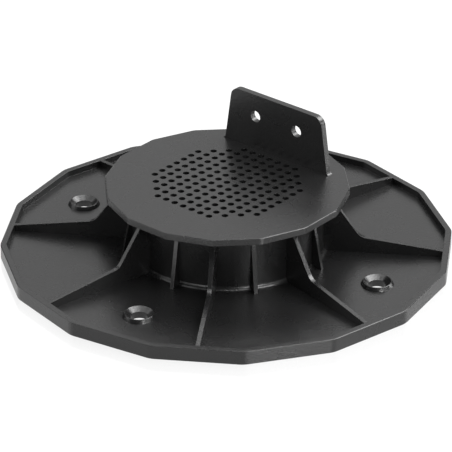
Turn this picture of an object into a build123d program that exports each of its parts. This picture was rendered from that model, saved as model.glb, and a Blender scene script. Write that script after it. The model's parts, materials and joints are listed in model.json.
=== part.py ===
from build123d import *
from math import atan, cos, degrees, radians, sin
import os

# Screw-adjustable decking pedestal, moulded in two pieces: a ribbed base with a drum, and a
# perforated head whose stem runs in the drum. Drawn fully lowered. Millimetres, +Z up, the
# origin on the ground under the middle of the drum, +Y towards the joist tab.

# Overall form
side_count = 16  # sides of the base plate and of the head
lift = 15.0  # how far the head screws up
stem_engagement = 12.4  # stem left in the drum when the head is right up
edge_break = 0.5  # bevel round the top edges of the rim and the head

# Base plate and rim
base_corner_r = 103.0
base_turn = -0.8  # how far the base stands turned under the head, in degrees
base_corner_round = 10.0
floor_t = 3.3
rim_h = 6.4
rim_t = 3.0
rim_draft = 1.5  # degrees
centre_opening_r = 30.0  # drain opening in the floor, under the stem

# Drum
drum_r = 44.2
drum_foot_round = 2.5

# Long ribs, from the drum to the rim
rib_t = 2.0
long_rib_top_r = 46.3
long_rib_knee_r = 60.8
long_rib_knee_h = 11.0
long_rib_knee_round = 6.0

# Short ribs, the gussets between them
short_rib_foot_r = 49.2
short_rib_drop = 3.0  # from the top of the drum down to their tips

# Screw bosses on the floor
boss_count = 4
boss_ring_r = 76.8
boss_foot_r = 7.4
boss_top_r = 6.4
boss_h = 1.7  # above the floor
screw_hole_r = 3.9
sink_r = 6.15
sink_depth = 1.8

# Head plate
head_corner_r = 55.67
head_corner_round = 6.0
head_t = 3.0

# Drain holes, a square grid with its corners left out
drain_hole_r = 1.5
drain_hole_sides = 9
drain_pitch = 5.0
drain_rows = 13
drain_reach = 9  # largest count of steps along X plus steps along Y from the middle

# Stem, and the stiffening ribs inside it
stem_r = 40.0
stem_wall = 2.6
stem_play = 0.3  # between the stem and the drum, all round
stem_end_gap = 0.7  # between the lowered stem and the ledge of the floor
stem_lead_in = 1.0
stiffener_t = 1.8
stiffener_h = 8.0
stiffener_offset = 12.5  # midway between two rows of drain holes

# Joist tab
tab_t = 3.0
tab_face_y = 34.2  # face that the joist stands against
tab_h = 27.3
tab_top_w = 52.1
tab_foot_w = 60.2
tab_corner_round = 4.0
tab_foot_round = 1.3
tab_hole_r = 2.75
tab_hole_spacing = 24.0
tab_hole_h = 16.4  # above the head plate

# Worked out from the sizes above
stem_length = lift + stem_engagement
stem_bore_r = stem_r - stem_wall
drum_bore_r = stem_r + stem_play
drum_h = floor_t + stem_end_gap + stem_length
closed_height = drum_h + head_t
side_step = 360 / side_count
rib_count = side_count // 2
first_long_rib = base_turn - side_step / 2
first_short_rib = base_turn + side_step / 2
rim_inner_r = (base_corner_r - rim_t) * cos(radians(side_step / 2))
short_rib_h = drum_h - short_rib_drop
boss_top_h = floor_t + boss_h
sink_angle = 2 * degrees(atan((sink_r - screw_hole_r) / sink_depth))


def upright_plane(angle):
    """Plane through the axis at this angle: X runs outwards and Y upwards."""
    turn = radians(angle)
    return Plane((0, 0, 0), x_dir=(cos(turn), sin(turn), 0), z_dir=(sin(turn), -cos(turn), 0))


def pattern_angles(first, count):
    """Angles of a ring of equal features."""
    return [first + k * 360 / count for k in range(count)]


# Base: a tray with an upstanding rim, the drum, sixteen ribs and four screw bosses
with BuildPart() as base:
    with BuildSketch():
        RegularPolygon(base_corner_r, side_count, rotation=base_turn)
        fillet(vertices(), base_corner_round)
    extrude(amount=rim_h)
    draft(faces().filter_by(Axis.Z, reverse=True), Plane.XY, rim_draft)
    chamfer(faces().sort_by(Axis.Z)[-1].edges(), edge_break)
    with BuildSketch(Plane.XY.offset(floor_t)):
        RegularPolygon(base_corner_r - rim_t, side_count, rotation=base_turn)
        fillet(vertices(), base_corner_round - rim_t)
    extrude(amount=rim_h, mode=Mode.SUBTRACT)

    with BuildSketch(Plane.XY.offset(floor_t)):
        Circle(drum_r)
    extrude(amount=drum_h - floor_t)
    floor_arcs = edges().filter_by(GeomType.CIRCLE).filter_by_position(Axis.Z, floor_t, floor_t)
    fillet(floor_arcs.sort_by(SortBy.RADIUS)[-1], drum_foot_round)

    for angle in pattern_angles(first_long_rib, rib_count):
        with BuildSketch(upright_plane(angle)):
            with BuildLine():
                Polyline(
                    (drum_bore_r, 0),
                    (rim_inner_r + rim_t / 2, 0),
                    (rim_inner_r + rim_t / 2, rim_h),
                    (rim_inner_r, rim_h),
                    (long_rib_knee_r, long_rib_knee_h),
                    (long_rib_top_r, drum_h),
                    (drum_bore_r, drum_h),
                    close=True,
                )
            make_face()
            knee = vertices().sort_by_distance((long_rib_knee_r, long_rib_knee_h))[0]
            fillet(knee, long_rib_knee_round)
        extrude(amount=rib_t / 2, both=True)

    for angle in pattern_angles(first_short_rib, rib_count):
        with BuildSketch(upright_plane(angle)):
            Polygon(
                (drum_bore_r, 0),
                (short_rib_foot_r, 0),
                (short_rib_foot_r, floor_t),
                (drum_r, short_rib_h),
                (drum_bore_r, short_rib_h),
                align=None,
            )
        extrude(amount=rib_t / 2, both=True)

    with BuildSketch(Plane.XY.offset(floor_t)):
        Circle(drum_bore_r)
    extrude(amount=drum_h, mode=Mode.SUBTRACT)
    with BuildSketch():
        Circle(centre_opening_r)
    extrude(amount=floor_t, mode=Mode.SUBTRACT)

    with Locations(Plane.XY.offset(floor_t)):
        with PolarLocations(boss_ring_r, boss_count, start_angle=first_short_rib):
            Cone(boss_foot_r, boss_top_r, boss_h, align=(Align.CENTER, Align.CENTER, Align.MIN))
    with Locations(Plane.XY.offset(boss_top_h)):
        with PolarLocations(boss_ring_r, boss_count, start_angle=first_short_rib):
            CounterSinkHole(screw_hole_r, sink_r, counter_sink_angle=sink_angle)

base.part.label = "base"

# Head: the perforated plate with the stem under it and the joist tab standing on it
with BuildPart() as head:
    with BuildSketch(Plane.XY.offset(drum_h)):
        RegularPolygon(head_corner_r, side_count, rotation=side_step / 2)
        fillet(vertices(), head_corner_round)
    extrude(amount=head_t)
    chamfer(faces().sort_by(Axis.Z)[-1].edges(), edge_break)

    with BuildSketch(Plane.XY.offset(drum_h)):
        Circle(stem_r)
    extrude(amount=-stem_length)
    chamfer(faces().sort_by(Axis.Z)[0].edges(), stem_lead_in)
    with BuildSketch(Plane.XY.offset(drum_h)):
        Circle(stem_bore_r)
        with Locations((stiffener_offset, 0), (-stiffener_offset, 0)):
            Rectangle(stiffener_t, 2 * stem_r, mode=Mode.SUBTRACT)
        with Locations((0, stiffener_offset), (0, -stiffener_offset)):
            Rectangle(2 * stem_r, stiffener_t, mode=Mode.SUBTRACT)
    extrude(amount=-stem_length, mode=Mode.SUBTRACT)
    with BuildSketch(Plane.XY.offset(drum_h - stiffener_h)):
        Circle(stem_bore_r)
    extrude(amount=-stem_length, mode=Mode.SUBTRACT)

    with BuildSketch(Plane((0, tab_face_y, closed_height), x_dir=(1, 0, 0), z_dir=(0, -1, 0))):
        Polygon(
            (-tab_foot_w / 2, 0),
            (tab_foot_w / 2, 0),
            (tab_top_w / 2, tab_h),
            (-tab_top_w / 2, tab_h),
            align=None,
        )
        fillet(vertices().group_by(Axis.Y)[-1], tab_corner_round)
        with Locations((-tab_hole_spacing / 2, tab_hole_h), (tab_hole_spacing / 2, tab_hole_h)):
            Circle(tab_hole_r, mode=Mode.SUBTRACT)
    extrude(amount=-tab_t)
    tab_feet = (
        edges()
        .filter_by(Axis.Y)
        .filter_by_position(Axis.Z, closed_height, closed_height)
        .filter_by(lambda edge: abs(edge.length - tab_t) < edge_break)
    )
    fillet(tab_feet, tab_foot_round)

    drain_grid = [
        place
        for place in GridLocations(drain_pitch, drain_pitch, drain_rows, drain_rows)
        if abs(place.position.X) + abs(place.position.Y) < (drain_reach + 0.5) * drain_pitch
    ]
    with BuildSketch(Plane.XY.offset(closed_height)):
        with Locations(*drain_grid):
            RegularPolygon(drain_hole_r, drain_hole_sides)
    extrude(amount=-head_t, mode=Mode.SUBTRACT)

head.part.label = "head"

os.makedirs("parts", exist_ok=True)
export_step(base.part, "parts/base.step")
export_step(head.part, "parts/head.step")
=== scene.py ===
import json
import math
import bmesh
import bpy
import numpy as np
from mathutils import Matrix, Vector


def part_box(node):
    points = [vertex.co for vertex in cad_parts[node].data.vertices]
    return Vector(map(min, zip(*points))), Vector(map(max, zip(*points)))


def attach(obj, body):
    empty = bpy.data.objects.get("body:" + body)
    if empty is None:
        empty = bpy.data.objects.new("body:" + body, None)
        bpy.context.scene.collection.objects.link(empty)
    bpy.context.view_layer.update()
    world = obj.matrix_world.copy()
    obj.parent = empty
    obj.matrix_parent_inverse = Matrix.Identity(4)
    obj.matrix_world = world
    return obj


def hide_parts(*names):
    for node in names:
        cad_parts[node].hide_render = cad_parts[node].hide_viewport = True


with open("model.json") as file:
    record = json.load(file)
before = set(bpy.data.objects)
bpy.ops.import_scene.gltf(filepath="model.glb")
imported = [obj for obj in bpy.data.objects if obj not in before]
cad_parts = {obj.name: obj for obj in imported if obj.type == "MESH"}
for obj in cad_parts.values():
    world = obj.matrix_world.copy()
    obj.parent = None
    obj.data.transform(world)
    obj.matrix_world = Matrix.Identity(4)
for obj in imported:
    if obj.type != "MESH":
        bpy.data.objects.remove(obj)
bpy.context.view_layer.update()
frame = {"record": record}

# Lengths in the dictionaries are millimetres in the frame's axes, angles are degrees.
mm = 0.001
mounts = {m["name"]: m for m in frame["record"]["mounts"]}
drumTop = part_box("base")[1].z / mm
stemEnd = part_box("head")[0].z / mm
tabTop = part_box("head")[1].z / mm

sideCount = 16            # of the tray and of the head plate
sideStep = 360 / sideCount
halfSide = math.pi / sideCount  # half of a side's angle, in radians
edgeSteps = 3             # pieces of a small quarter round
slightSteps = 2           # pieces of a round that hardly shows
spare = 1.0               # how far a cutter reaches past the faces that it cuts
mouthMiddle = 0.3         # place of a hole mouth's middle ring, as a share of the mouth's width


def toMesh(name, points, faces):
    # points in mm and faces as lists of their numbers make one mesh in metres
    mesh = bpy.data.meshes.new(name)
    mesh.from_pydata((points * mm).tolist(), [], faces)
    mesh.update()
    return mesh


def gridQuads(rows, columns, closeRows):
    # quads between neighbouring rows of a grid whose columns run round and meet; the rows meet too
    # if asked
    row = np.arange(rows if closeRows else rows - 1)[:, None] * columns
    nextRow = (row + columns) % (rows * columns)
    column = np.arange(columns)[None, :]
    nextColumn = (column + 1) % columns
    corners = [row + column, row + nextColumn, nextRow + nextColumn, nextRow + column]
    return np.stack(corners, -1).reshape(-1, 4)


def withHeights(rings, heights):
    # each ring of flat points gets its own third coordinate
    third = np.broadcast_to(np.asarray(heights)[:, None, None], rings.shape[:2] + (1,))
    return np.concatenate([rings, third], 2)


def cappedRows(rows):
    # quads between the rows, one face over the first row and one over the last
    count, columns = rows.shape[:2]
    faces = gridQuads(count, columns, False).tolist()
    faces.append(list(range(columns))[::-1])
    faces.append([(count - 1) * columns + k for k in range(columns)])
    return rows.reshape(-1, 3), faces


def repeatFaces(faces, size, copies):
    # each copy's faces count on from the points of the copies before it
    return [[n + k * size for n in face] for k in range(copies) for face in faces]


def gather(*parts):
    # several (points, faces) pairs as one
    points, faces, start = [], [], 0
    for p, f in parts:
        points.append(p)
        faces += [[n + start for n in face] for face in f]
        start += len(p)
    return np.concatenate(points), faces


def roundBend(centre, radius, start, end, steps):
    # arc in a profile plane: centre plus radius times the cosine and sine of an even run of angles
    turn = np.radians(np.linspace(start, end, steps + 1))
    return np.stack([centre[0] + radius * np.cos(turn), centre[1] + radius * np.sin(turn)], 1)


def bevelBend(outerR, top, bevel, soft):
    # a 45 degree bevel between a wall and a top face, with an arc of radius soft at its two corners
    reach = soft * math.tan(math.pi / 8)
    return np.concatenate([
        roundBend((outerR - soft, top - bevel - reach), soft, 0, 45, slightSteps),
        roundBend((outerR - bevel - reach, top - soft), soft, 45, 90, slightSteps),
    ])


def outlineLayout(turn, cornerSteps, sideSteps):
    # the corners in a row, each with its share of a corner arc and of the side that follows
    arc = np.linspace(-1, 1, cornerSteps + 1)
    side = np.linspace(0, 1, sideSteps + 1)[1:-1]
    corner = np.repeat(np.arange(sideCount), len(arc) + len(side))
    return {
        "corner": math.radians(turn) + 2 * halfSide * corner,
        "arc": np.tile(np.concatenate([arc, np.ones(len(side))]), sideCount),
        "side": np.tile(np.concatenate([np.zeros(len(arc)), side]), sideCount),
    }


def polygonRing(layout, flatR, rounding):
    # a point turns with radius rounding about the corner's centre, or lies on the line to the next
    # corner's arc
    centreR = (flatR - rounding) / math.cos(halfSide)

    def arcPoint(corner, place):
        facing = corner + place * halfSide
        return np.stack([
            centreR * np.cos(corner) + rounding * np.cos(facing),
            centreR * np.sin(corner) + rounding * np.sin(facing),
        ], -1)

    here = arcPoint(layout["corner"], layout["arc"])
    following = arcPoint(layout["corner"] + 2 * halfSide, -1.0)
    return here + layout["side"][:, None] * (following - here)


def plateRing(layout, outerFlatR, rounding, flatR, roundness):
    # the polygon drawn in to flatR, its rounding shrunk as much, mixed with a circle by roundness
    leastRounding = 0.5
    drawn = max(rounding - (outerFlatR - flatR), leastRounding)
    polygon = polygonRing(layout, flatR, drawn)
    angle = np.arctan2(polygon[:, 1], polygon[:, 0])
    circle = flatR * np.stack([np.cos(angle), np.sin(angle)], 1)
    return (1 - roundness) * polygon + roundness * circle


thread = {
    "pitch": 5.0,
    "depth": 1.2,
    "crestR": 40.0,         # on the stem
    "play": 0.35,           # between the stem's thread and the drum's
    "run": 2.5,             # over which the thread rises at its ends
    "sharpness": 2.2,       # of the flanks
    "drumPlain": (0.4, 0.6),    # plain lengths of the bore under and over the thread
    "stemPlain": (1.0, 0.5),    # the same of the stem
}


def threadWave(angle, height):
    # 1 on the thread's crest and 0 in its root: a cosine of the helix's phase, squared off by a
    # tanh
    phase = 2 * math.pi * height / thread["pitch"] - angle
    sharpness = thread["sharpness"]
    return 0.5 + 0.5 * np.tanh(sharpness * np.cos(phase)) / math.tanh(sharpness)


def fadeEnds(height, low, high):
    # 0 outside low to high, rising to 1 over one run at each end
    run = thread["run"]
    return np.clip((height - low) / run, 0, 1) * np.clip((high - height) / run, 0, 1)


tray = {
    "flatR": 102.98 * math.cos(halfSide),    # middle of a side
    "cornerRound": 10.0,
    "cornerSteps": 4,
    "sideSteps": 9,
    "turn": -0.8,
    "rimTop": 6.4,
    "draft": 0.7,
    "rimT": 2.94,
    "bevel": 0.26,
    "bevelSoft": 0.12,
    "innerEdge": 0.15,
    "rimFootRound": 0.06,
    "rimFootSteps": 4,
    "floorTop": 3.3,
    "floorRings": (88.0, 76.0, 64.0, 54.0),    # over these the floor's rings turn into circles
    "openingR": 30.0,
    "openingEdge": 0.3,
    "underRings": (60.0, 85.0),     # over these the underside's rings turn back
    "underRoundness": (0.66, 0.33),
    "drumR": 44.2,
    "drumFootRound": 2.5,
    "drumFootSteps": 10,
    "drumWallRings": 3,
    "drumEdge": 0.2,
    "boreRows": 72,
}


def trayShell():
    # one closed profile run round the sides: a row is the plate's outline at that distance and
    # height, and the drum's rows are circles
    s = tray
    layout = outlineLayout(s["turn"], s["cornerSteps"], s["sideSteps"])
    wallTop = s["flatR"] - s["rimTop"] * math.tan(math.radians(s["draft"]))
    innerR = s["flatR"] - s["rimT"]
    boreR = thread["crestR"] + thread["play"]
    q, f, d = s["innerEdge"], s["rimFootRound"], s["drumFootRound"]
    polygonPart = np.concatenate([
        roundBend((s["flatR"] - q, q), q, -90, 0, slightSteps),
        bevelBend(wallTop, s["rimTop"], s["bevel"], s["bevelSoft"]),
        roundBend((innerR + q, s["rimTop"] - q), q, 90, 180, edgeSteps),
        roundBend((innerR - f, s["floorTop"] + f), f, 0, -90, s["rimFootSteps"]),
    ])
    floorCount = len(s["floorRings"])
    floorPart = np.stack([s["floorRings"], np.full(floorCount, s["floorTop"])], 1)
    edge = s["drumEdge"]
    underEdge = drumTop - edge
    wall = np.linspace(s["floorTop"] + d, underEdge, s["drumWallRings"] + 2)[1:-1]
    drumPart = np.concatenate([
        roundBend((s["drumR"] + d, s["floorTop"] + d), d, 270, 180, s["drumFootSteps"]),
        np.stack([np.full(len(wall), s["drumR"]), wall], 1),
        roundBend((s["drumR"] - edge, underEdge), edge, 0, 90, edgeSteps),
        roundBend((boreR + edge, underEdge), edge, 90, 180, edgeSteps),
    ])
    boreHeight = np.linspace(underEdge, s["floorTop"], s["boreRows"])[1:]
    borePart = np.stack([np.full(len(boreHeight), boreR), boreHeight], 1)
    o, w = s["openingR"], s["openingEdge"]
    openingPart = np.concatenate([
        roundBend((o + w, s["floorTop"] - w), w, 90, 180, edgeSteps),
        roundBend((o + w, w), w, 180, 270, edgeSteps),
    ])
    underPart = np.stack([s["underRings"], np.zeros(len(s["underRings"]))], 1)
    profile = np.concatenate([polygonPart, floorPart, drumPart, borePart, openingPart, underPart])
    roundness = np.concatenate([
        np.zeros(len(polygonPart)),
        np.linspace(0, 1, floorCount + 1)[1:],
        np.ones(len(drumPart) + len(borePart) + len(openingPart)),
        s["underRoundness"],
    ])
    rings = np.stack([
        plateRing(layout, s["flatR"], s["cornerRound"], out, mix)
        for (out, up), mix in zip(profile, roundness)
    ])
    points = withHeights(rings, profile[:, 1])

    # the bore's rows move outwards where the thread is cut
    first = len(polygonPart) + floorCount + len(drumPart)
    bore = slice(first, first + len(borePart))
    angle = np.arctan2(points[bore, :, 1], points[bore, :, 0])
    height = points[bore, :, 2]
    under, over = thread["drumPlain"]
    fade = fadeEnds(height, s["floorTop"] + under, drumTop - over)
    cut = thread["depth"] * fade * (1 - threadWave(angle, height))
    points[bore, :, :2] *= (1 - cut / boreR)[..., None]
    quads = gridQuads(*points.shape[:2], True)
    return toMesh("trayShell", points.reshape(-1, 3), quads.tolist())


def drawnIn(outline, depth):
    # each point moves inwards along the mitre of its two edges' normals, by depth from both edges
    edge = np.roll(outline, -1, 0) - outline
    edge /= np.linalg.norm(edge, axis=1, keepdims=True)
    normal = np.stack([edge[:, 1], -edge[:, 0]], 1)
    before = np.roll(normal, 1, 0)
    mitre = (normal + before) / (1 + (normal * before).sum(1, keepdims=True))
    return outline - depth * mitre


def roundedPlate(outline, thickness, edge):
    # rows of the outline across the thickness, drawn in at both faces along a quarter round, and a
    # cap on each face
    turn = np.linspace(0, math.pi / 2, edgeSteps + 1)
    depth = edge * (1 - np.cos(turn))
    side = thickness / 2 - edge + edge * np.sin(turn)
    depths = np.concatenate([depth[::-1], depth])
    sides = np.concatenate([-side[::-1], side])
    return cappedRows(withHeights(np.stack([drawnIn(outline, d) for d in depths]), sides))


def filletCorner(before, corner, after, radius, steps):
    # arc of that radius that touches both lines through the corner
    a = (before - corner) / np.linalg.norm(before - corner)
    b = (after - corner) / np.linalg.norm(after - corner)
    half = math.acos(float(np.clip(a @ b, -1, 1))) / 2
    middle = (a + b) / np.linalg.norm(a + b)
    centre = corner + middle * radius / math.sin(half)
    first = corner + a * radius / math.tan(half) - centre
    last = corner + b * radius / math.tan(half) - centre
    start = math.atan2(first[1], first[0])
    sweep = (math.atan2(last[1], last[0]) - start + math.pi) % (2 * math.pi) - math.pi
    turn = start + sweep * np.linspace(0, 1, steps + 1)
    return centre + radius * np.stack([np.cos(turn), np.sin(turn)], 1)


def ringAngles(first, count):
    # even angles round the axis, in degrees
    return first + 360 / count * np.arange(count)


def uprightRing(outline, s, first):
    # rounded plates that stand round the axis: the outline runs outwards and upwards, and the
    # plate's thickness runs across
    points, faces = roundedPlate(outline, s["thickness"], s["edge"])
    turn = np.radians(ringAngles(first, s["count"]))[:, None]
    out, up, across = points.T[:, None, :]
    copies = np.stack([
        out * np.cos(turn) + across * np.sin(turn),
        out * np.sin(turn) - across * np.cos(turn),
        np.broadcast_to(up, (s["count"], len(points))),
    ], 2)
    return copies.reshape(-1, 3), repeatFaces(faces, len(points), s["count"])


ribs = {
    "count": 8,             # of each kind
    "thickness": 2.0,
    "edge": 0.12,
    "rootR": 42.4,          # inside the drum's wall
    "rootH": 1.6,           # inside the floor
    "topR": 46.3,
    "topDrop": 0.05,
    "kneeR": 60.8,
    "kneeH": 11.0,
    "kneeRound": 6.0,
    "kneeSteps": 8,
    "endH": 6.38,           # just inside the rim's top
    "endR": 99.6,           # inside the rim
    "shortFootR": 49.2,
    "shortTopH": 28.4,
}


def longRibs():
    # outline in the plane of the axis: floor, rim, long slope, rounded knee, steep slope, drum
    s = ribs
    top = drumTop - s["topDrop"]
    knee = np.array([s["kneeR"], s["kneeH"]])
    slopeEnd = np.array([tray["flatR"] - tray["rimT"], s["endH"]])
    slopeTop = np.array([s["topR"], top])
    outline = np.concatenate([
        [(s["rootR"], s["rootH"]), (s["endR"], s["rootH"]), (s["endR"], s["endH"]), slopeEnd],
        filletCorner(slopeEnd, knee, slopeTop, s["kneeRound"], s["kneeSteps"]),
        [slopeTop, (s["rootR"], top)],
    ])
    return uprightRing(outline, s, tray["turn"] - sideStep / 2)


def shortRibs():
    # outline in the plane of the axis: a slim triangle against the drum
    s = ribs
    outline = np.array([
        (s["rootR"], s["rootH"]),
        (s["shortFootR"], s["rootH"]),
        (s["shortFootR"], tray["floorTop"]),
        (tray["drumR"], s["shortTopH"]),
        (s["rootR"], s["shortTopH"]),
    ])
    return uprightRing(outline, s, tray["turn"] + sideStep / 2)


def turned(profile, steps, places):
    # a profile of radius and height, from pole to pole, turned about an upright axis at each place
    turn = np.linspace(0, 2 * math.pi, steps, endpoint=False)
    middle = profile[1:-1]
    radius, height = middle[:, :1], middle[:, 1:]
    ring = np.stack([
        radius * np.cos(turn),
        radius * np.sin(turn),
        np.broadcast_to(height, (len(middle), steps)),
    ], 2).reshape(-1, 3)
    one = np.concatenate([ring, [(0, 0, profile[0, 1]), (0, 0, profile[-1, 1])]])
    first, last = len(ring), len(ring) + 1
    column = np.arange(steps)
    following = (column + 1) % steps
    end = (len(middle) - 1) * steps
    faces = gridQuads(len(middle), steps, False).tolist()
    faces += np.stack([np.full(steps, first), following, column], 1).tolist()
    faces += np.stack([np.full(steps, last), end + column, end + following], 1).tolist()
    offset = np.zeros((len(places), 1, 3))
    offset[:, 0, :2] = places
    return (one[None] + offset).reshape(-1, 3), repeatFaces(faces, len(one), len(places))


bosses = {
    "count": mounts["floor_screws"]["dims"]["count"],
    "ringR": mounts["floor_screws"]["dims"]["pcd_mm"] / 2,
    "holeR": mounts["floor_screws"]["dims"]["hole_r_mm"],
    "footR": 7.4,
    "footDepth": 1.5,       # inside the floor
    "topR": 6.4,
    "height": 1.7,
    "lipRound": 0.12,
    "holeEdge": 0.05,       # bevel at the hole's lower end
    "sinkR": 6.15,
    "sinkDepth": 1.8,
    "steps": 64,
}


def bossPlaces():
    # the boss centres, midway between long ribs
    angle = np.radians(ringAngles(tray["turn"] + sideStep / 2, bosses["count"]))
    return bosses["ringR"] * np.stack([np.cos(angle), np.sin(angle)], 1)


def bossCones():
    # low cones with their feet inside the floor
    s = bosses
    low = tray["floorTop"]
    foot = low - s["footDepth"]
    top = low + s["height"]
    r, lip = s["topR"], s["lipRound"]
    profile = np.array([
        (0, foot), (s["footR"], foot), (s["footR"], low),
        (r + lip, top - lip), (r - lip, top), (0, top),
    ])
    return turned(profile, s["steps"], bossPlaces())


def bossSinks():
    # the screws' countersinks and their holes through the floor
    s = bosses
    top = tray["floorTop"] + s["height"]
    lip = top - s["sinkDepth"]
    slope = (s["sinkR"] - s["holeR"]) / s["sinkDepth"]
    r, e = s["holeR"], s["holeEdge"]
    profile = np.array([
        (0, -spare), (r + e, -spare), (r + e, 0.0), (r, e), (r, lip),
        (s["sinkR"] + slope * spare, top + spare), (0, top + spare),
    ])
    return turned(profile, s["steps"], bossPlaces())


plate = {
    "flatR": 55.67 * math.cos(halfSide),
    "cornerRound": 6.0,
    "cornerSteps": 5,
    "sideSteps": 6,
    "turn": sideStep / 2,
    "thickness": mounts["head_face"]["pos_m"][2] / mm - drumTop,
    "bevel": 0.26,
    "bevelSoft": 0.12,
    "drawIn": 0.2,          # how far the side leans in from its foot to its top
    "underEdge": 0.12,
}
plateTop = drumTop + plate["thickness"]


def headPlate():
    # the plate's outline with a round at its underside, a side that leans in to a bevel at its top,
    # and a cap on each face
    s = plate
    layout = outlineLayout(s["turn"], s["cornerSteps"], s["sideSteps"])
    u = s["underEdge"]
    profile = np.concatenate([
        roundBend((s["flatR"] - u, drumTop + u), u, -90, 0, slightSteps),
        bevelBend(s["flatR"] - s["drawIn"], plateTop, s["bevel"], s["bevelSoft"]),
    ])
    rings = np.stack([
        plateRing(layout, s["flatR"], s["cornerRound"], out, 0) for out, up in profile
    ])
    return cappedRows(withHeights(rings, profile[:, 1]))


stem = {
    "boreR": 37.4,
    "topInPlate": 1.2,
    "endRound": 0.4,
    "columns": 224,
    "rows": 78,
}


def threadedStem():
    # a tube's closed profile turned about the axis, its outer radius raised from the root by the
    # thread's wave
    s = stem
    rootR = thread["crestR"] - thread["depth"]
    top = drumTop + s["topInPlate"]
    r = s["endRound"]
    height = np.linspace(top, stemEnd + r, s["rows"])
    profile = np.concatenate([
        np.stack([np.full(len(height), rootR), height], 1),
        roundBend((rootR - r, stemEnd + r), r, 0, -90, edgeSteps)[1:],
        roundBend((s["boreR"] + r, stemEnd + r), r, 270, 180, edgeSteps),
        [(s["boreR"], top)],
    ])
    turn = np.linspace(0, 2 * math.pi, s["columns"], endpoint=False)
    radius = np.repeat(profile[:, :1], len(turn), 1)
    under, over = thread["stemPlain"]
    fade = fadeEnds(height, stemEnd + under, drumTop - over)[:, None]
    radius[:len(height)] += thread["depth"] * fade * threadWave(turn[None], height[:, None])
    points = withHeights(np.stack([radius * np.cos(turn), radius * np.sin(turn)], 2), profile[:, 1])
    quads = gridQuads(*points.shape[:2], True)[:, ::-1]
    return points.reshape(-1, 3), quads.tolist()


stiffeners = {
    "thickness": 1.8,
    "height": 8.0,
    "offset": 12.5,
    "edge": 0.3,
    "intoStem": 0.6,
    "intoPlate": 1.0,
}


def stiffeningRibs(alongX):
    # two upright plates under the head plate, from wall to wall of the stem, along X or along Y
    s = stiffeners
    reach = math.sqrt((stem["boreR"] + s["intoStem"]) ** 2 - s["offset"] ** 2)
    low = drumTop - s["height"]
    high = drumTop + s["intoPlate"]
    outline = np.array([(-reach, low), (reach, low), (reach, high), (-reach, high)])
    points, faces = roundedPlate(outline, s["thickness"], s["edge"])
    along, up, across = points.T
    pair = []
    for side in (-s["offset"], s["offset"]):
        if alongX:
            pair.append(np.stack([along, side - across, up], 1))
        else:
            pair.append(np.stack([side + across, along, up], 1))
    return np.concatenate(pair), repeatFaces(faces, len(points), len(pair))


tab = {
    "faceY": mounts["joist_face"]["pos_m"][1] / mm,
    "thickness": 3.0,
    "footW": 60.2,
    "topW": 52.1,
    "cornerRound": 4.8,
    "cornerSteps": 10,
    "footRound": 1.7,
    "footSteps": 6,
    "footSunk": 0.03,       # the foot's rounds end just inside the plate
    "intoPlate": 1.5,
    "edge": 0.12,
    "holeR": mounts["tab_screws"]["dims"]["hole_r_mm"],
    "holeSpacing": mounts["tab_screws"]["dims"]["spacing_x_mm"],
    "holeH": mounts["tab_screws"]["pos_m"][2] / mm,
    "holeEdge": 0.12,
    "holeSteps": 48,
    "holeSpare": 2.0,       # how far the holes' cutters reach past the tab's faces
}


def joistTab():
    # trapezium with two rounded corners on top and a hollow round at each foot, thickened along Y
    s = tab
    sunk = plateTop - s["footSunk"]
    wide, narrow = s["footW"] / 2, s["topW"] / 2
    footCorner = np.array([wide, sunk])
    topCorner = np.array([narrow, tabTop])
    outside = np.array([2 * wide, sunk])
    otherCorner = np.array([-narrow, tabTop])
    foot = filletCorner(outside, footCorner, topCorner, s["footRound"], s["footSteps"])
    top = filletCorner(footCorner, topCorner, otherCorner, s["cornerRound"], s["cornerSteps"])
    right = np.concatenate([[(foot[0, 0], plateTop - s["intoPlate"])], foot, top])
    outline = np.concatenate([right, right[::-1] * (-1, 1)])
    points, faces = roundedPlate(outline, s["thickness"], s["edge"])
    middle = s["faceY"] + s["thickness"] / 2
    return np.stack([points[:, 0], middle - points[:, 2], points[:, 1]], 1), faces


def tabHoles():
    # two turned cutters laid along Y through the tab
    s = tab
    r, e = s["holeR"], s["holeEdge"]
    m = e * mouthMiddle
    near, far = s["faceY"], s["faceY"] + s["thickness"]
    before, behind = near - s["holeSpare"], far + s["holeSpare"]
    profile = np.array([
        (0, before), (r + e, before), (r + e, near), (r + m, near + m), (r, near + e),
        (r, far - e), (r + m, far - m), (r + e, far), (r + e, behind), (0, behind),
    ])
    half = s["holeSpacing"] / 2
    points, faces = turned(profile, s["holeSteps"], np.array([(-half, 0.0), (half, 0.0)]))
    return np.stack([points[:, 0], points[:, 2], s["holeH"] - points[:, 1]], 1), faces


drain = {
    "holeR": 1.5,
    "pitch": 5.0,
    "rows": 6,              # each side of the middle row
    "reach": 9,             # most steps along X plus steps along Y
    "edge": 0.06,
    "steps": 24,
}


def drainHoles():
    # a slim turned cutter with a small bell mouth at both faces, at each crossing of the grid
    s = drain
    step = np.arange(-s["rows"], s["rows"] + 1)
    x, y = np.meshgrid(step, step)
    kept = np.abs(x) + np.abs(y) <= s["reach"]
    places = np.stack([x[kept], y[kept]], 1) * s["pitch"]
    r, e = s["holeR"], s["edge"]
    m = e * mouthMiddle
    under, over = drumTop - spare, plateTop + spare
    profile = np.array([
        (0, under), (r + e, under), (r + e, drumTop), (r, drumTop + e), (r, plateTop - e),
        (r + m, plateTop - m), (r + e, plateTop), (r + e, over), (0, over),
    ])
    return turned(profile, s["steps"], places)


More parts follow.
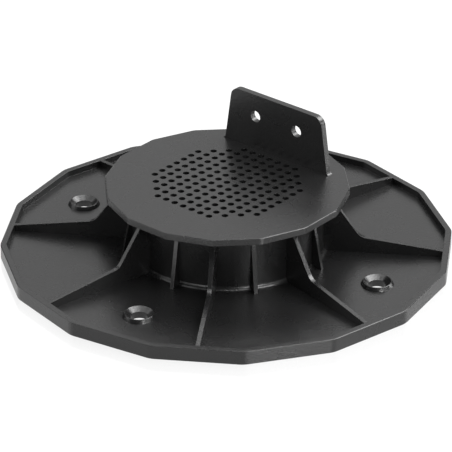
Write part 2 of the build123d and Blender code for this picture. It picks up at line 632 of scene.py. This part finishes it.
def combine(mesh, others, operation):
    # joins the other shape to the mesh, or cuts it away, and returns the result as a new mesh
    body = bpy.data.objects.new("body", mesh)
    tool = bpy.data.objects.new("tool", others)
    scene = bpy.context.scene.collection
    scene.objects.link(body)
    scene.objects.link(tool)
    step = body.modifiers.new("combine", "BOOLEAN")
    step.operation = operation
    step.solver = "MANIFOLD"
    step.object = tool
    bpy.context.view_layer.update()
    evaluated = body.evaluated_get(bpy.context.evaluated_depsgraph_get())
    result = bpy.data.meshes.new_from_object(evaluated)
    bpy.data.objects.remove(body)
    bpy.data.objects.remove(tool)
    return result


finish = {
    "gap": 0.001,           # points closer than this become one
    "crispAngle": 38,       # faces that meet at more than this stay crisp
    "flatWeight": 100,      # how strongly large faces keep their normals
}


def finishPiece(name, mesh, material, body, node):
    # welds the points that the cuts left side by side, then smooth faces with crisp edges, their
    # normals kept flat on flat faces
    work = bmesh.new()
    work.from_mesh(mesh)
    bmesh.ops.remove_doubles(work, verts=work.verts, dist=finish["gap"] * mm)
    work.to_mesh(mesh)
    work.free()
    mesh.name = name
    mesh.materials.clear()
    mesh.materials.append(material)
    mesh.polygons.foreach_set("use_smooth", np.ones(len(mesh.polygons), bool))
    mesh.set_sharp_from_angle(angle=math.radians(finish["crispAngle"]))
    piece = bpy.data.objects.new(name, mesh)
    bpy.context.scene.collection.objects.link(piece)
    weighted = piece.modifiers.new("flatFaces", "WEIGHTED_NORMAL")
    weighted.keep_sharp = True
    weighted.weight = finish["flatWeight"]
    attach(piece, body)
    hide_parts(node)
    print(name, "has", len(mesh.vertices), "points and", len(mesh.polygons), "faces")


plastic = {
    "colour": (0.006, 0.006, 0.0061),
    "toneSpread": 0.06,     # share by which the grain lightens and darkens the colour
    "roughness": 0.28,
    "roughnessSpread": 0.03,
    "grainSize": 0.75,
    "grainDepth": 0.07,
    "grainDetail": 2,
    "grainStrength": 1.0,
    "driftScale": 60,       # per metre
    "driftDetail": 3,
    "driftRange": (0.3, 0.7),
}


def plasticMaterial(name):
    # dark moulded plastic: a fine spark-eroded grain in bump and tone, and a faint drift of
    # roughness
    s = plastic
    mat = bpy.data.materials.new(name)
    mat.use_nodes = True
    nodes, links = mat.node_tree.nodes, mat.node_tree.links
    shader = nodes["Principled BSDF"]
    place = nodes.new("ShaderNodeTexCoord")

    grain = nodes.new("ShaderNodeTexNoise")
    grain.inputs["Scale"].default_value = 1 / (s["grainSize"] * mm)
    grain.inputs["Detail"].default_value = s["grainDetail"]
    links.new(place.outputs["Object"], grain.inputs["Vector"])
    drift = nodes.new("ShaderNodeTexNoise")
    drift.inputs["Scale"].default_value = s["driftScale"]
    drift.inputs["Detail"].default_value = s["driftDetail"]
    links.new(place.outputs["Object"], drift.inputs["Vector"])

    bump = nodes.new("ShaderNodeBump")
    bump.inputs["Strength"].default_value = s["grainStrength"]
    bump.inputs["Distance"].default_value = s["grainDepth"] * mm
    links.new(grain.outputs["Fac"], bump.inputs["Height"])
    links.new(bump.outputs["Normal"], shader.inputs["Normal"])

    rough = nodes.new("ShaderNodeMapRange")
    rough.inputs["From Min"].default_value = s["driftRange"][0]
    rough.inputs["From Max"].default_value = s["driftRange"][1]
    rough.inputs["To Min"].default_value = s["roughness"] - s["roughnessSpread"]
    rough.inputs["To Max"].default_value = s["roughness"] + s["roughnessSpread"]
    links.new(drift.outputs["Fac"], rough.inputs["Value"])
    links.new(rough.outputs["Result"], shader.inputs["Roughness"])

    tone = nodes.new("ShaderNodeMixRGB")
    darker, lighter = 1 - s["toneSpread"], 1 + s["toneSpread"]
    tone.inputs["Color1"].default_value = (*(c * darker for c in s["colour"]), 1)
    tone.inputs["Color2"].default_value = (*(c * lighter for c in s["colour"]), 1)
    links.new(grain.outputs["Fac"], tone.inputs["Fac"])
    links.new(tone.outputs["Color"], shader.inputs["Base Color"])
    return mat


camera = {
    "azimuth": 40.285,      # of its line of sight, from +Y towards -X
    "elevation": 28.078,
    "distance": 1326.1,
    "right": -0.435,        # aim point along the picture's right
    "up": 10.67,            # aim point along the picture's up
    "lens": 231.9,
    "sensor": 36,
    "nearest": 50,
    "farthest": 30000,
}


def directionFrom(azimuth, elevation):
    # unit vector from the origin to a place at that angle round from -Y and above the ground
    a, e = math.radians(azimuth), math.radians(elevation)
    return Vector((math.sin(a) * math.cos(e), -math.cos(a) * math.cos(e), math.sin(e)))


def makeCamera():
    # the camera looks along minus back, from the aim point plus back times the distance
    data = bpy.data.cameras.new("photoCamera")
    data.lens = camera["lens"]
    data.sensor_width = camera["sensor"]
    data.clip_start = camera["nearest"] * mm
    data.clip_end = camera["farthest"] * mm
    cam = bpy.data.objects.new("photoCamera", data)
    a = math.radians(camera["azimuth"])
    right = Vector((math.cos(a), math.sin(a), 0))
    back = directionFrom(camera["azimuth"], camera["elevation"])
    up = back.cross(right)
    place = (right * camera["right"] + up * camera["up"] + back * camera["distance"]) * mm
    turn = Matrix((right, up, back)).transposed()
    cam.matrix_world = Matrix.Translation(place) @ turn.to_4x4()
    bpy.context.scene.collection.objects.link(cam)
    bpy.context.scene.camera = cam


studio = {
    "floorSize": 12000.0,
    "floorDrop": 0.05,      # keeps the floor out of the underside's plane
    "floorColour": (0.06, 0.06, 0.06),
    "floorGlow": 0.82,
    "floorRoughness": 0.15,
    "floorIor": 2.0,
    "roomGlow": 0.05,       # even light from all round
    "distance": 1500.0,     # of the softboxes from the origin
    "softboxes": {          # azimuth round from the camera's towards its right, and elevation
        "overhead": {"at": (15, 76), "size": (850, 550), "brightness": 6.5},
        "rightHigh": {"at": (94, 49), "size": (1150, 800), "brightness": 11.5},
        "frontRightHigh": {"at": (46, 60), "size": (500, 400), "brightness": 9.0},
        "rightLow": {"at": (106, 10), "size": (600, 280), "brightness": 10.0},
        "backRight": {"at": (132, 41), "size": (600, 450), "brightness": 8.0},
        "frontRight": {"at": (31, 20), "size": (420, 300), "brightness": 25.0},
        "frontRightSide": {"at": (60, 19), "size": (500, 280), "brightness": 4.5},
        "backHigh": {"at": (185, 54), "size": (1300, 450), "brightness": 3.2},
        "leftHigh": {"at": (288, 60), "size": (700, 450), "brightness": 3.5},
        "back": {"at": (180, 30), "size": (1000, 900), "brightness": 0.9},
        "left": {"at": (260, 31), "size": (1200, 900), "brightness": 1.9},
        "leftLow": {"at": (299, 7), "size": (600, 350), "brightness": 3.5},
        "frontLow": {"at": (335, 4), "size": (700, 300), "brightness": 8.0},
    },
}


def makeFloor():
    # a plain pale sheet with its own even light, so that it stays pale under the object; clear from
    # beneath
    s = studio
    half = s["floorSize"] / 2
    z = -s["floorDrop"]
    corners = np.array([(-half, -half, z), (half, -half, z), (half, half, z), (-half, half, z)])
    floor = bpy.data.objects.new("floor", toMesh("floor", corners, [[0, 1, 2, 3]]))
    mat = bpy.data.materials.new("floorPaint")
    mat.use_nodes = True
    nodes, links = mat.node_tree.nodes, mat.node_tree.links
    shader = nodes["Principled BSDF"]
    shader.inputs["Base Color"].default_value = (*s["floorColour"], 1)
    shader.inputs["Roughness"].default_value = s["floorRoughness"]
    shader.inputs["IOR"].default_value = s["floorIor"]
    shader.inputs["Emission Color"].default_value = (1, 1, 1, 1)
    shader.inputs["Emission Strength"].default_value = s["floorGlow"]
    clear = nodes.new("ShaderNodeBsdfTransparent")
    side = nodes.new("ShaderNodeNewGeometry")
    pick = nodes.new("ShaderNodeMixShader")
    links.new(side.outputs["Backfacing"], pick.inputs["Fac"])
    links.new(shader.outputs["BSDF"], pick.inputs[1])
    links.new(clear.outputs["BSDF"], pick.inputs[2])
    links.new(pick.outputs["Shader"], nodes["Material Output"].inputs["Surface"])
    floor.data.materials.append(mat)
    bpy.context.scene.collection.objects.link(floor)


def makeSoftbox(name, box):
    # a soft rectangle of light that faces the middle of the object, its power in line with its area
    data = bpy.data.lights.new(name, "AREA")
    data.shape = "RECTANGLE"
    data.size, data.size_y = (side * mm for side in box["size"])
    data.energy = box["brightness"] * math.pi * data.size * data.size_y
    lamp = bpy.data.objects.new(name, data)
    lamp.visible_camera = False
    azimuth, elevation = box["at"]
    away = directionFrom(camera["azimuth"] + azimuth, elevation)
    turn = away.to_track_quat("Z", "Y").to_matrix().to_4x4()
    lamp.matrix_world = Matrix.Translation(away * studio["distance"] * mm) @ turn
    bpy.context.scene.collection.objects.link(lamp)


def makeLight():
    # even light from all round, and the softboxes
    world = bpy.data.worlds.new("studioRoom")
    world.use_nodes = True
    background = world.node_tree.nodes["Background"]
    background.inputs["Color"].default_value = (1, 1, 1, 1)
    background.inputs["Strength"].default_value = studio["roomGlow"]
    bpy.context.scene.world = world
    bpy.context.scene.view_settings.view_transform = "Standard"
    for name, box in studio["softboxes"].items():
        makeSoftbox(name, box)


makeCamera()
makeFloor()
makeLight()
print("camera, floor and light are set")

basePlastic = plasticMaterial("basePlastic")
headPlastic = plasticMaterial("headPlastic")

baseMesh = trayShell()
baseMesh = combine(baseMesh, toMesh("ribs", *gather(longRibs(), shortRibs(), bossCones())), "UNION")
baseMesh = combine(baseMesh, toMesh("sinks", *bossSinks()), "DIFFERENCE")
finishPiece("baseMoulding", baseMesh, basePlastic, "base", "base")

headMesh = toMesh("plate", *headPlate())
headMesh = combine(headMesh, toMesh("stem", *threadedStem()), "UNION")
headMesh = combine(headMesh, toMesh("stiffenersX", *stiffeningRibs(True)), "UNION")
headMesh = combine(headMesh, toMesh("stiffenersY", *stiffeningRibs(False)), "UNION")
headMesh = combine(headMesh, toMesh("tab", *joistTab()), "UNION")
headMesh = combine(headMesh, toMesh("holes", *gather(drainHoles(), tabHoles())), "DIFFERENCE")
finishPiece("headMoulding", headMesh, headPlastic, "head", "head")
print("both mouldings are made")
